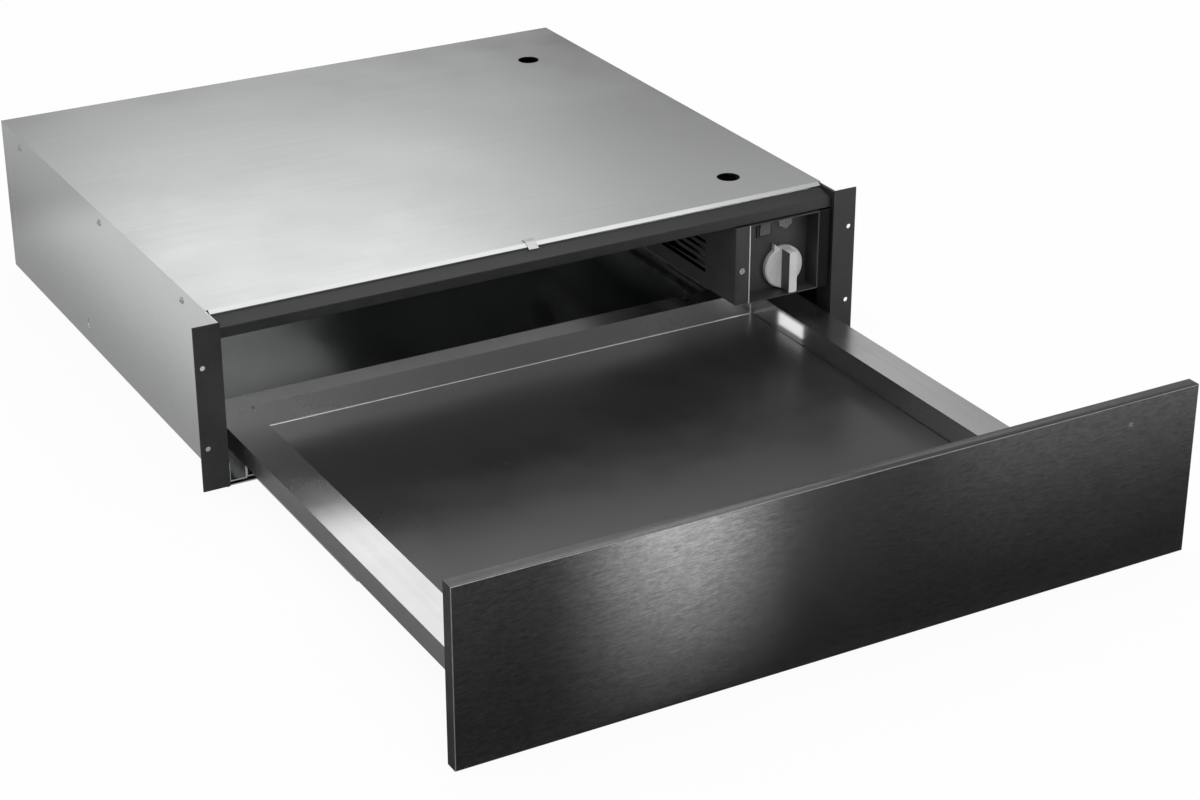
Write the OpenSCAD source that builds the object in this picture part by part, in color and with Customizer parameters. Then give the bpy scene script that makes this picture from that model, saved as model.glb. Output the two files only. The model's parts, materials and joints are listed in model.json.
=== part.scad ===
// Built-in warming drawer, shown with the drawer pulled out.
// X runs to the right, Y to the back, Z up. The origin is the centre of the four cabinet
// screw holes, on the front face of the mounting flanges. Lengths are in millimetres.

/* [Carcass] */

// outside width of the sheet metal carcass
carcass_width = 552.2; // [540:0.1:556]
// outside height of the carcass
carcass_height = 138.6; // [134:0.1:150]
// depth from the front of the flanges to the back of the carcass
carcass_depth = 510.7; // [505:0.1:540]
// thickness of the carcass sheet
sheet = 1; // [0.8:0.1:1.2]
// distance from the flange front to the front edge of the top cover
cover_setback = 24.3; // [22:0.1:28]
// diameter of the two round holes in the top cover
cover_hole_diameter = 19.6; // [15:0.1:24]

/* [Flanges] */

// width of each mounting flange, from its fold to its free edge
flange_width = 22; // [20:0.1:23]
// thickness of the flange plate
flange_thickness = 1.2; // [1:0.1:1.5]
// distance from a flange's free edge to its screw holes
screw_edge = 6.1; // [5:0.1:8]
// distance between the screw holes up the flange
screw_spacing_up = 67; // [55:0.5:80]
// diameter of the cabinet screw holes
screw_hole_diameter = 4.2; // [3.5:0.1:5]

/* [Front panel] */

// how far the panel reaches past the carcass at each side
panel_overlap = 21.4; // [20.9:0.1:22.4]
// how far the panel's top edge lies below the top of the carcass
panel_top_gap = 7.8; // [6:0.2:10]
// thickness of the front panel
panel_thickness = 11; // [9:0.5:16]
// how far the panel hangs below the carcass
panel_drop = 3.6; // [2:0.2:5]

/* [Drawer] */

// how far the drawer is pulled out
drawer_travel = 416.5; // [400:0.5:417]
// gap between panel and flanges when the drawer is shut
shut_gap = 2.4; // [2.4:0.1:4]
// height of the flat rim above the underside of the carcass
rim_height = 35; // [34:0.5:38]
// width of the rim at each side
rim_width = 30.5; // [29:0.5:34]
// width of the rim at the back
rear_rim_width = 21.6; // [18:0.2:26]
// depth of the pan from rim to inner floor
pan_depth = 22; // [18:0.5:22]
// radius of the pan's pressed corners
pan_radius = 3; // [2:0.5:4]
// thickness of the anti-slip mat
mat_thickness = 2; // [1.5:0.5:3]

/* [Slides] */

// overall thickness of a telescopic slide
slide_thickness = 12.4; // [12.4:0.1:13]
// height of the slide's cabinet member
slide_height = 24; // [24:0.5:25]
// space left between the cabinet member and the rear panel
slide_rear_space = 57.7; // [48:0.1:62]
// balls in one row of a cage
balls_per_row = 6; // [4:1:8]

/* [Controls] */

// width of the control and fan compartment
compartment_width = 95.1; // [92:0.1:98]
// height of the compartment's underside above the carcass underside
compartment_bottom = 53; // [50:0.5:56]
// depth of the control recess behind the front post
recess_depth = 17.5; // [17:0.5:22]
// diameter of the thermostat knob
knob_diameter = 37; // [34:0.5:37.5]
// louvre slots in the compartment wall, in one column
louvre_rows = 5; // [3:1:5]

/* [Hidden] */

$fn = 48;

weld_gap = 0.3;
overrun = 2;

half_width = carcass_width / 2;
inner_half = half_width - sheet;
cover_bottom = carcass_height - sheet;
rear_inside = carcass_depth - sheet;
hole_height = 70;

panel_back = -(drawer_travel + shut_gap);
panel_front = panel_back - panel_thickness;
panel_width = carcass_width + 2 * panel_overlap;
panel_top = carcass_height - panel_top_gap;
panel_height = panel_top + panel_drop;

// side panel, rear wrap and cover flanges
wrap_length = 15.7;
cover_flange_drop = 17;
cover_flange_inset = 26;
cover_lip_run = 3.4;
cover_lip_drop = 2.2;
cover_hole_in = 61.3;
cover_hole_x = inner_half - cover_hole_in;
cover_hole_front = 70.6;
cover_hole_rear = 80.9;
cover_holes_at = [cover_hole_front, carcass_depth - cover_hole_rear];
side_screw_drop = 9.6;
side_screw_height = cover_bottom - side_screw_drop;
side_screw_front = 74.2;
side_screw_middle_share = 0.5062;
side_screw_rear = 49.1;
side_screws_at = [side_screw_front, carcass_depth * side_screw_middle_share,
    carcass_depth - side_screw_rear];
dimple_share = 0.6011;
dimple_at = carcass_depth * dimple_share;
dimple_height = 18.8;
dimple_radius = 5;
screw_radius = 1.75;
screw_head_radius = 2.6;
screw_head_height = 1;
screw_length = 6;
screw_slot_width = 0.8;
screw_slot_depth = 0.6;
screw_slot_share = 0.6;

// flange angle
flange_bottom = 1.2;
flange_top_drop = 0.9;
flange_top = carcass_height - flange_top_drop;
flange_leg = 19;
flange_inner = inner_half - sheet;
flange_outer = flange_inner + flange_width;
mount_x = flange_outer - screw_edge;
mount_up = screw_spacing_up / 2;

// front top rail
rail_half = flange_inner - weld_gap;
rail_front = 4.6;
rail_top_back = cover_setback + weld_gap;
rail_lip_back = 40;
rail_knee_run = 4.3;
rail_knee_drop = 2.8;
rail_nose_drop = 6.2;
rail_nose_height = 8.8;
rail_nose_top = cover_bottom - rail_nose_drop;
rail_nose_bottom = rail_nose_top - rail_nose_height;
rail_return = 20;
rail_sheet = 1.2;

// spring clip in the middle of the rail
clip_width = 9;
clip_length = 6;
clip_sheet = 0.8;
clip_reach = 6.4;
clip_fall = clip_reach * cover_lip_drop / cover_lip_run;

// base panel
base_lip = 12;
rib_half = 8;
rib_top = 4;
rib_slope = 3;
rib_reach = 200;
rib_shares = [0.58, 0.8];
ribs_at = [for (share = rib_shares) carcass_depth * share];
base_front = 3;

// rear panel vents
vent_width = 5;
vent_height_share = 0.307;
vent_rise_share = 0.485;
vent_pitch = 11;
vent_count = 6;
vent_in = 35;
gland_in = 56;
gland_rise = 19;

// control compartment
wall_x = inner_half - compartment_width;
vent_centre_x = wall_x + vent_in;
vent_height = vent_height_share * (cover_bottom - compartment_bottom);
vent_bottom = compartment_bottom + vent_rise_share * (cover_bottom - compartment_bottom);
gland_x = wall_x + gland_in;
gland_height = compartment_bottom + gland_rise;
post_front = 3;
post_width = 13;
post_screw_x = 6;
post_screw_rise = 30;
post_screw_height = compartment_bottom + post_screw_rise;
wall_top_drop = 0.6;
wall_top_front = rail_nose_bottom - wall_top_drop;
wall_flange = 10;
louvre_front = 50;
louvre_length = 118;
louvre_height = 3;
louvre_pitch = 6.4;
louvre_rise = 13;
louvre_bottom = compartment_bottom + louvre_rise;
intake_radius = 26;
intake_slot = 4;
intake_pitch = 8;
intake_rows = 3;

// control recess
recess_left = wall_x + post_width + weld_gap;
recess_right_post = 13;
recess_right = inner_half - recess_right_post;
recess_bottom = compartment_bottom - sheet;
recess_top = wall_top_front - weld_gap;
recess_tall = recess_top - recess_bottom;
fascia_front = post_front + recess_depth;
knob_in = 56;
knob_x = wall_x + knob_in;
knob_share = 0.291;
knob_height = recess_bottom + knob_share * recess_tall;
switch_in = 38.4;
switch_x = wall_x + switch_in;
switch_share = 0.832;
switch_height = recess_bottom + switch_share * recess_tall;
window_in = 57.1;
window_x = wall_x + window_in;
window_share = 0.8806;
window_height = recess_bottom + window_share * recess_tall;

// knob
knob_front = 1;
knob_back_gap = 1;
knob_disc = 5;
grip_width = 7.6;
grip_inset = 0.4;
grip_fillet = 1.5;
nib_thickness = 4;
nib_angle = 24;
nib_length = 5.5;
nib_width = 8;
nib_root = 2.5;
shaft_radius = 3;
running_gap = 0.05;
shaft_seat = 5;
shaft_flat = 1.8;
knob_edge = 1.2;
knob_back = fascia_front - knob_back_gap;
knob_disc_front = knob_back - knob_disc;
shaft_start = knob_front + shaft_seat;

// thermostat
thermostat_radius = 18;
thermostat_depth = 24;
thermostat_collar_radius = 6;
thermostat_tab_width = 6;
thermostat_tab_length = 8;
thermostat_tab_sheet = 0.8;
thermostat_tab_spread = 10;
shaft_depth = 14;

// rocker switch
switch_width = 13;
switch_tall = 16;
switch_wall = 1;
switch_bezel = 1.2;
switch_bezel_rim = 0.8;
switch_depth = 18;
switch_cavity = 10;
rocker_gap = 0.4;
rocker_tilt = 7;
rocker_half = 5.8;
rocker_stand = 6;
rocker_dish = 1;
rocker_heel = 2.4;
pivot_radius = 1;
pivot_reach = 0.9;
pivot_seat = 1.1;
pivot_depth = 4;
rocker_width = switch_width - 2 * switch_wall - 2 * rocker_gap;

// pilot lamp
lamp_hex_radius = 6.9;
lamp_hex_turn = 30;
lamp_reach = 4.5;
lamp_front = fascia_front - lamp_reach;
lamp_body_radius = 6;
lamp_body_depth = 16;
lamp_bore = 3;
lamp_seat = 5;

// fan and heater
fan_rear = 170.7;
fan_y = carcass_depth - fan_rear;
fan_rise = 43;
fan_height = compartment_bottom + fan_rise;
fan_radius = 37;
fan_wall = 1.2;
fan_width = 30;
fan_wheel_radius = 32;
fan_wheel_width = 20;
fan_blades = 18;
blade_sheet = 0.9;
blade_depth = 9;
wheel_plate = 1.2;
hub_radius = 7;
fan_shaft_radius = 2;
motor_radius = 22;
motor_length = 32;
motor_flange_radius = 27;
motor_flange = 2;
wheel_clearance = 2;
fan_left = wall_x + sheet + weld_gap;
motor_left = fan_left + fan_width;
wheel_left = fan_left + fan_wall + wheel_clearance;
motor_bore = 18;
motor_cap = 3;
motor_cap_radius = 8;
duct_front = 44;
duct_neck = 78;
duct_back = fan_y - duct_neck;
duct_rise = 4;
duct_height = 42;
duct_bottom = compartment_bottom + duct_rise;
duct_top = duct_bottom + duct_height;
duct_clearance = 2;
duct_width = knob_in - thermostat_radius - duct_clearance;
element_radius = 3.2;
element_runs = 3;
element_pitch = 12;
element_to_neck = 80;
element_front = duct_back - element_to_neck;
element_length = 60;
element_rise = 9;
element_height = duct_bottom + element_rise;
element_x = duct_width / 2;
element_tail = 26;
tail_radius = 2.4;
tail_inset = 4;
element_ends = [[element_front + tail_inset, element_height],
    [element_front + element_length - tail_inset,
        element_height + (element_runs - 1) * element_pitch]];
cutout_y = 120;
cutout_radius = 8;
cutout_depth = 7;
cutout_ear = 12;
cutout_sheet = 0.8;
block_in = 58;
block_x = wall_x + block_in;
block_rear = 55.7;
block_y = carcass_depth - block_rear;
block_length = 34;
block_width = 20;
block_height = 18;
block_wells = 3;
well_radius = 2.4;
well_depth = 9;

// cable gland
gland_flange_radius = 13;
gland_flange = 3;
gland_neck_radius = 9;
gland_nut_radius = 13;
gland_nut = 5;
gland_bore_radius = 4.5;
gland_inside = 9;

// slide section: u runs from the cabinet side to the drawer side, v up from its middle
member = 1;
ball_gap = 0.3;
outer_ball = 1.4;
inner_ball = 1.2;
outer_race = outer_ball + ball_gap;
inner_race = inner_ball + ball_gap;
outer_u = 6;
outer_v = slide_height / 2 - outer_race - member;
inner_u = 8.6;
inner_v = outer_v - outer_race - member - inner_race;
race_hook = 20;
sector_reach = 12;
sector_steps = 4;
slide_middle = 16.8;
slide_front = 2;
slide_length = rear_inside - slide_front - slide_rear_space;
middle_setback = 13;
middle_shorter = 24;
middle_length = slide_length - middle_shorter;
drawer_member_shorter = 10;
drawer_member_length = slide_length - drawer_member_shorter;
middle_front = slide_front + middle_setback - drawer_travel / 2;
drawer_member_inset = 5;
drawer_member_front = panel_back + drawer_member_inset;
cage_share = 0.44;
cage_length = slide_length * cage_share;
cage_inset = 8;
cage_sheet = 0.6;
cage_web_u = 1.85;
cage_flange_v = 0.3;
cage_tip = 1.1;
cage_pocket_gap = 0.15;
inner_cage_web_u = 4.85;
inner_cage_tip = 0.9;
inner_cage_v = 0.3;
outer_cage_front = slide_front + cage_inset;
inner_cage_front = middle_front + cage_inset;
end_ball_inset = 10;

// slide bracket and carrier
bracket_sheet = 1;
bracket_floor = 4;
bracket_outer_top = 20;
bracket_inner_top = slide_middle + slide_height / 2;
hem_gap = 1;
pan_sheet = 0.8;
pan_half = inner_half - slide_thickness;
hem_bottom = 17.5;
bracket_x = pan_half - pan_sheet - hem_gap;
slide_x = bracket_x - bracket_sheet;
carrier_x = slide_x - slide_thickness;
carrier_sheet = 1;
carrier_bottom = 9;
carrier_foot = 7;
rivet_radius = 1.5;
rivet_head = 2.2;
rivet_head_thick = 0.5;
slide_rivet_shares = [0.0622, 0.44, 0.8844];
slide_rivets_at = [for (share = slide_rivet_shares) slide_front + share * slide_length];
carrier_rivet_shares = [0.077, 0.509, 0.9407];
carrier_rivets_at = [for (share = carrier_rivet_shares) drawer_member_front
    + share * drawer_member_length];
bracket_beyond = 8;
bracket_back = slide_front + slide_length + bracket_beyond;

// drawer pan
rear_clearance = 14.6;
pan_rear = rear_inside - rear_clearance - drawer_travel;
pan_front = panel_back;
pan_inner_half = pan_half - rim_width;
pan_inner_rear = pan_rear - rear_rim_width;
front_rim_width = 14;
pan_inner_front = pan_front + front_rim_width;
pan_floor = rim_height - pan_depth;
front_hem_bottom = 6;
rear_hem_bottom = 21;
rear_hem_half = carrier_x - weld_gap;
mat_foot = 0.8;
mat_gap = 0.24;
mat_foot_inset = pan_radius + weld_gap;
mat_inset = mat_gap + pan_radius - sqrt(pan_radius * pan_radius
    - (pan_radius - mat_foot) * (pan_radius - mat_foot));

// front panel
skin = 0.8;
core_wall = 1.2;
skin_bevel = 0.5;
window_radius = 2;
core_rib = 1.2;
core_ribs_at = [-150, 0, 150];
pad_radius = 4;
pad_thickness = shut_gap - weld_gap;
pad_inset = 12.4;
pad_x = panel_width / 2 - pad_inset;
pad_low = 14;
pad_high_drop = 12.8;
pad_heights = [pad_low, panel_top - pad_high_drop];

// angle brackets and screws between pan and panel
angle_sheet = 1.2;
angle_length = 34;
angle_bottom = 13;
angle_foot = 4.6;
angle_offset = 1.4;
panel_screws_at = [-200, -70, 70, 200];
panel_screw_height = 10;

// push latch
latch_width = 26;
latch_height = 15;
latch_centre = 27;
latch_setback = 1.9;
latch_depth = rear_clearance - latch_setback;
plunger_radius = 3.5;
plunger_reach = 1.6;
plunger_head = 4.6;
plunger_head_thick = 1;
plunger_neck = 4;
plunger_cavity_radius = 5;
plunger_cavity_depth = 6;
plunger_length = 8;
latch_ear = 7;
latch_ear_thick = 2;
latch_front = rear_inside - latch_depth;

// heights in the modules below count from the underside of the carcass
module on_base() {
    translate([0, 0, -hole_height]) children();
}

module block(from, to) {
    translate(from) cube([to[0] - from[0], to[1] - from[1], to[2] - from[2]]);
}

module along_y(front, length) {
    translate([0, front + length, 0]) rotate([90, 0, 0]) linear_extrude(length) children();
}

module along_x(left, length) {
    translate([left, 0, 0]) rotate([90, 0, 90]) linear_extrude(length) children();
}

module rod_y(x, front, z, length, radius) {
    translate([x, front, z]) rotate([-90, 0, 0]) cylinder(h = length, r = radius);
}

module rod_x(left, y, z, length, radius) {
    translate([left, y, z]) rotate([0, 90, 0]) cylinder(h = length, r = radius);
}

module on_left() {
    mirror([1, 0, 0]) children();
}

// cross-headed pan screw along Z, head at the origin and shank below it
module pan_screw(shank, radius, head_radius, head_height) {
    difference() {
        union() {
            cylinder(h = head_height, r = head_radius);
            translate([0, 0, -shank]) cylinder(h = shank + head_height / 2, r = radius);
        }
        for (turn = [0, 90]) {
            rotate([0, 0, turn]) translate([-head_radius * screw_slot_share,
                -screw_slot_width / 2, head_height - screw_slot_depth])
                cube([2 * head_radius * screw_slot_share, screw_slot_width,
                    screw_slot_depth + overrun]);
        }
    }
}

// shallow stiffening rib across the base, drawn outside or inside the sheet
module base_rib(at, half, reach, bottom, top) {
    along_x(-reach, 2 * reach) polygon([
        [at - half, bottom],
        [at - half, 0],
        [at - half + rib_slope, top],
        [at + half - rib_slope, top],
        [at + half, 0],
        [at + half, bottom]
    ]);
}

module base_panel() {
    color([0.62, 0.63, 0.64]) on_base() difference() {
        union() {
            along_y(base_front, rear_inside - base_front) polygon([
                [-inner_half, 0],
                [inner_half, 0],
                [inner_half, base_lip],
                [inner_half - sheet, base_lip],
                [inner_half - sheet, sheet],
                [-inner_half + sheet, sheet],
                [-inner_half + sheet, base_lip],
                [-inner_half, base_lip]
            ]);
            for (at = ribs_at) {
                base_rib(at, rib_half, rib_reach, 0, rib_top);
            }
        }
        for (at = ribs_at) {
            base_rib(at, rib_half - sheet, rib_reach - sheet, -overrun, rib_top - sheet);
        }
    }
}

module side_sheet() {
    difference() {
        union() {
            block([inner_half, flange_thickness, 0],
                [half_width, carcass_depth - wrap_length, cover_bottom]);
            block([inner_half - sheet, carcass_depth - wrap_length - overrun, base_lip + weld_gap],
                [inner_half, rear_inside, cover_bottom]);
        }
        for (at = side_screws_at) {
            rod_x(inner_half - overrun, at, side_screw_height, sheet + 2 * overrun, screw_radius);
        }
        rod_x(half_width - sheet / 2, dimple_at, dimple_height, overrun, dimple_radius);
    }
}

module side_panel_right() {
    color([0.72, 0.73, 0.74]) on_base() side_sheet();
}

module side_panel_left() {
    color([0.72, 0.73, 0.74]) on_base() on_left() side_sheet();
}

module rear_panel() {
    color([0.66, 0.67, 0.68]) on_base() difference() {
        union() {
            block([-half_width, rear_inside, 0], [half_width, carcass_depth, cover_bottom]);
            for (side = [0, 1]) {
                mirror([side, 0, 0]) block([inner_half, carcass_depth - wrap_length + weld_gap, 0],
                    [half_width, carcass_depth, cover_bottom]);
            }
        }
        for (slot = [0 : vent_count - 1]) {
            translate([vent_centre_x + (slot - (vent_count - 1) / 2) * vent_pitch, 0, 0])
                vent_slot();
        }
        rod_y(gland_x, rear_inside - overrun, gland_height, sheet + 2 * overrun,
            gland_neck_radius);
    }
}

module vent_slot() {
    block([-vent_width / 2, rear_inside - overrun, vent_bottom],
        [vent_width / 2, carcass_depth + overrun, vent_bottom + vent_height]);
    for (end = [vent_bottom, vent_bottom + vent_height]) {
        rod_y(0, rear_inside - overrun, end, sheet + 2 * overrun, vent_width / 2);
    }
}

module top_cover() {
    color([0.74, 0.75, 0.76]) on_base() difference() {
        union() {
            block([-half_width, cover_setback, cover_bottom],
                [half_width, carcass_depth, carcass_height]);
            along_x(-rail_half, 2 * rail_half) polygon([
                [cover_setback, cover_bottom],
                [cover_setback, carcass_height],
                [cover_setback - cover_lip_run, carcass_height - cover_lip_drop],
                [cover_setback - cover_lip_run, cover_bottom - cover_lip_drop]
            ]);
            for (side = [0, 1]) {
                mirror([side, 0, 0]) block([inner_half - sheet, cover_flange_inset,
                    cover_bottom - cover_flange_drop],
                    [inner_half, carcass_depth - wrap_length - overrun - weld_gap, cover_bottom]);
            }
        }
        for (at = cover_holes_at) {
            translate([cover_hole_x, at, cover_bottom - overrun])
                cylinder(h = sheet + 2 * overrun, r = cover_hole_diameter / 2);
        }
        for (at = side_screws_at) {
            rod_x(-half_width, at, side_screw_height, 2 * half_width,
                screw_radius + running_gap);
        }
    }
}

module top_rail() {
    color([0.24, 0.24, 0.25]) on_base() along_x(-rail_half, 2 * rail_half) polygon([
        [rail_lip_back, cover_bottom],
        [rail_top_back, cover_bottom],
        [rail_top_back - rail_knee_run, cover_bottom - rail_knee_drop],
        [rail_front, rail_nose_top],
        [rail_front, rail_nose_bottom],
        [rail_front + rail_return, rail_nose_bottom],
        [rail_front + rail_return, rail_nose_bottom + rail_sheet],
        [rail_front + rail_sheet, rail_nose_bottom + rail_sheet],
        [rail_front + rail_sheet, rail_nose_top - rail_sheet],
        [rail_top_back - rail_knee_run, cover_bottom - rail_knee_drop - rail_sheet],
        [rail_top_back, cover_bottom - rail_sheet],
        [rail_lip_back, cover_bottom - rail_sheet]
    ]);
}

module flange_angle() {
    difference() {
        union() {
            block([flange_inner, 0, flange_bottom],
                [flange_outer, flange_thickness, flange_top]);
            block([flange_inner, flange_thickness, base_lip + weld_gap],
                [inner_half, flange_thickness + flange_leg, flange_top - sheet]);
        }
        for (way = [-1, 1]) {
            rod_y(mount_x, -overrun, hole_height + way * mount_up,
                flange_thickness + 2 * overrun, screw_hole_diameter / 2);
        }
    }
}

module flange_right() {
    color([0.23, 0.23, 0.24]) on_base() flange_angle();
}

module flange_left() {
    color([0.23, 0.23, 0.24]) on_base() on_left() flange_angle();
}

// flat spring tab that follows the cover's edge and front lip
module rail_clip() {
    color([0.8, 0.8, 0.8]) on_base() along_x(-clip_width / 2, clip_width) polygon([
        [cover_setback + clip_length, carcass_height],
        [cover_setback + clip_length, carcass_height + clip_sheet],
        [cover_setback, carcass_height + clip_sheet],
        [cover_setback - clip_reach, carcass_height + clip_sheet - clip_fall],
        [cover_setback - clip_reach, carcass_height - clip_fall],
        [cover_setback, carcass_height]
    ]);
}

module compartment_wall() {
    color([0.3, 0.3, 0.31]) on_base() difference() {
        union() {
            block([wall_x, post_front, compartment_bottom],
                [wall_x + sheet, rear_inside, wall_top_front]);
            block([wall_x, rail_lip_back + weld_gap, compartment_bottom],
                [wall_x + sheet, rear_inside, cover_bottom]);
            block([wall_x, post_front, compartment_bottom],
                [wall_x + post_width, post_front + sheet, wall_top_front]);
            block([wall_x, rail_lip_back + weld_gap, cover_bottom - sheet],
                [wall_x + wall_flange, rear_inside, cover_bottom]);
        }
        for (row = [0 : louvre_rows - 1]) {
            block([wall_x - overrun, louvre_front, louvre_bottom + row * louvre_pitch],
                [wall_x + sheet + overrun, louvre_front + louvre_length,
                    louvre_bottom + row * louvre_pitch + louvre_height]);
        }
        intersection() {
            rod_x(wall_x - overrun, fan_y, fan_height, sheet + 2 * overrun, intake_radius);
            for (row = [-intake_rows : intake_rows]) {
                block([wall_x - overrun, fan_y - intake_radius,
                    fan_height + row * intake_pitch - intake_slot / 2],
                    [wall_x + sheet + overrun, fan_y + intake_radius,
                    fan_height + row * intake_pitch + intake_slot / 2]);
            }
        }
        rod_y(wall_x + post_screw_x, post_front - overrun, post_screw_height,
            sheet + 2 * overrun, screw_radius + running_gap);
    }
}

module compartment_floor() {
    color([0.6, 0.61, 0.62]) on_base() union() {
        block([wall_x + sheet, fascia_front + sheet + weld_gap, compartment_bottom],
            [inner_half - sheet, rear_inside, compartment_bottom + sheet]);
        block([inner_half - sheet, fascia_front + sheet + weld_gap, compartment_bottom],
            [inner_half, carcass_depth - wrap_length - overrun - weld_gap,
                compartment_bottom + base_lip]);
    }
}

// folded tray behind the front post: back plate, bottom, top and two side walls
module control_recess() {
    color([0.27, 0.27, 0.28]) on_base() difference() {
        block([recess_left, post_front, recess_bottom],
            [inner_half - sheet - weld_gap, fascia_front + sheet, recess_top]);
        block([recess_left + sheet, post_front - overrun, recess_bottom + sheet],
            [recess_right - sheet, fascia_front, recess_top - sheet]);
        block([recess_right, post_front + sheet, recess_bottom - overrun],
            [inner_half, fascia_front + sheet + overrun, recess_top + overrun]);
        rod_y(knob_x, fascia_front - overrun, knob_height, sheet + 2 * overrun,
            thermostat_collar_radius + weld_gap);
        rod_y(window_x, fascia_front - overrun, window_height, sheet + 2 * overrun,
            lamp_bore + weld_gap);
        block([switch_x - switch_width / 2 - weld_gap, fascia_front - overrun,
            switch_height - switch_tall / 2 - weld_gap],
            [switch_x + switch_width / 2 + weld_gap, fascia_front + sheet + overrun,
            switch_height + switch_tall / 2 + weld_gap]);
    }
}

module thermostat_body() {
    color([0.75, 0.72, 0.62]) on_base() difference() {
        union() {
            rod_y(knob_x, fascia_front + sheet, knob_height, thermostat_depth,
                thermostat_radius);
            rod_y(knob_x, fascia_front, knob_height, sheet + overrun,
                thermostat_collar_radius);
            for (way = [-1, 1]) {
                block([knob_x + way * thermostat_tab_spread - thermostat_tab_sheet / 2,
                    fascia_front + sheet + thermostat_depth - overrun,
                    knob_height - thermostat_tab_width / 2],
                    [knob_x + way * thermostat_tab_spread + thermostat_tab_sheet / 2,
                    fascia_front + sheet + thermostat_depth + thermostat_tab_length,
                    knob_height + thermostat_tab_width / 2]);
            }
        }
        rod_y(knob_x, fascia_front - overrun, knob_height,
            shaft_depth + weld_gap + overrun, shaft_radius + running_gap);
    }
}

// round shaft with a flat where the knob grips it
module thermostat_shaft() {
    color([0.8, 0.8, 0.82]) on_base() difference() {
        rod_y(knob_x, shaft_start, knob_height, fascia_front + shaft_depth - shaft_start,
            shaft_radius);
        block([knob_x - shaft_radius, shaft_start - overrun, knob_height + shaft_flat],
            [knob_x + shaft_radius, knob_back - weld_gap, knob_height + shaft_radius + overrun]);
    }
}

// disc with a pointer on its rim and a raised bar grip with filleted feet
module knob() {
    color([0.82, 0.82, 0.82]) on_base() difference() {
        union() {
            translate([knob_x, 0, knob_height]) rotate([-90, 0, 0]) rotate_extrude()
                polygon([
                    [0, knob_disc_front],
                    [knob_diameter / 2 - knob_edge, knob_disc_front],
                    [knob_diameter / 2, knob_disc_front + knob_edge],
                    [knob_diameter / 2, knob_back],
                    [0, knob_back]
                ]);
            intersection() {
                rod_y(knob_x, knob_front, knob_height, knob_back - knob_front,
                    knob_diameter / 2 - grip_inset);
                difference() {
                    block([knob_x - grip_width / 2 - grip_fillet, knob_front,
                        knob_height - knob_diameter], [knob_x + grip_width / 2 + grip_fillet,
                        knob_back, knob_height + knob_diameter]);
                    for (side = [0, 1]) {
                        translate([knob_x, 0, 0]) mirror([side, 0, 0]) grip_cut();
                    }
                }
            }
            translate([knob_x, 0, knob_height]) rotate([0, -nib_angle, 0])
                along_y(knob_back - nib_thickness, nib_thickness) polygon([
                    [-nib_width / 2, knob_diameter / 2 - nib_root],
                    [nib_width / 2, knob_diameter / 2 - nib_root],
                    [0, knob_diameter / 2 + nib_length]
                ]);
        }
        difference() {
            rod_y(knob_x, shaft_start - weld_gap, knob_height, knob_back, shaft_radius
                + running_gap);
            block([knob_x - shaft_radius, shaft_start - overrun, knob_height + shaft_flat
                + running_gap], [knob_x + shaft_radius, knob_back - weld_gap,
                knob_height + shaft_radius + overrun]);
        }
    }
}

module grip_cut() {
    block([grip_width / 2, knob_front - overrun, knob_height - knob_diameter - overrun],
        [grip_width / 2 + grip_fillet + overrun, knob_disc_front - grip_fillet,
        knob_height + knob_diameter + overrun]);
    translate([grip_width / 2 + grip_fillet, knob_disc_front - grip_fillet,
        knob_height - knob_diameter - overrun])
        cylinder(h = 2 * knob_diameter + 2 * overrun, r = grip_fillet);
}

module switch_body() {
    color([0.12, 0.12, 0.12]) on_base() difference() {
        union() {
            block([switch_x - switch_width / 2, fascia_front, switch_height - switch_tall / 2],
                [switch_x + switch_width / 2, fascia_front + switch_depth,
                switch_height + switch_tall / 2]);
            block([switch_x - switch_width / 2 - switch_bezel_rim, fascia_front - switch_bezel,
                switch_height - switch_tall / 2 - switch_bezel_rim],
                [switch_x + switch_width / 2 + switch_bezel_rim, fascia_front,
                switch_height + switch_tall / 2 + switch_bezel_rim]);
        }
        block([switch_x - switch_width / 2 + switch_wall, fascia_front - overrun,
            switch_height - switch_tall / 2 + switch_wall],
            [switch_x + switch_width / 2 - switch_wall, fascia_front + switch_cavity,
            switch_height + switch_tall / 2 - switch_wall]);
        rod_x(switch_x - switch_width / 2 + switch_wall - pivot_seat + rocker_gap,
            fascia_front + pivot_depth, switch_height,
            switch_width - 2 * switch_wall + 2 * pivot_seat - 2 * rocker_gap,
            pivot_radius + running_gap);
    }
}

// dished rocker on two pivot stubs, its lower half pressed in
module rocker() {
    color([0.3, 0.3, 0.31]) on_base()
        translate([switch_x, fascia_front + pivot_depth, switch_height])
        rotate([rocker_tilt, 0, 0]) union() {
            along_x(-rocker_width / 2, rocker_width) polygon([
                [-rocker_stand - rocker_dish, rocker_half],
                [-rocker_stand, 0],
                [-rocker_stand - rocker_dish, -rocker_half],
                [-rocker_heel, -rocker_half],
                [rocker_heel, -rocker_heel],
                [rocker_heel, rocker_heel],
                [-rocker_heel, rocker_half]
            ]);
            rod_x(-rocker_width / 2 - pivot_reach, 0, 0, rocker_width + 2 * pivot_reach,
                pivot_radius);
        }
}

module lamp_body() {
    color([0.85, 0.84, 0.8]) on_base() difference() {
        rod_y(window_x, fascia_front + sheet, window_height, lamp_body_depth,
            lamp_body_radius);
        rod_y(window_x, fascia_front, window_height, sheet + lamp_seat + weld_gap,
            lamp_bore + running_gap);
    }
}

// six-sided light guide that carries the pilot lamp's light forward
module lamp_lens() {
    color([0.85, 0.85, 0.8]) on_base() union() {
        translate([window_x, lamp_front, window_height]) rotate([-90, lamp_hex_turn, 0])
            cylinder(h = lamp_reach, r = lamp_hex_radius, $fn = 6);
        rod_y(window_x, fascia_front - overrun, window_height, overrun + sheet + lamp_seat,
            lamp_bore);
    }
}

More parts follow.
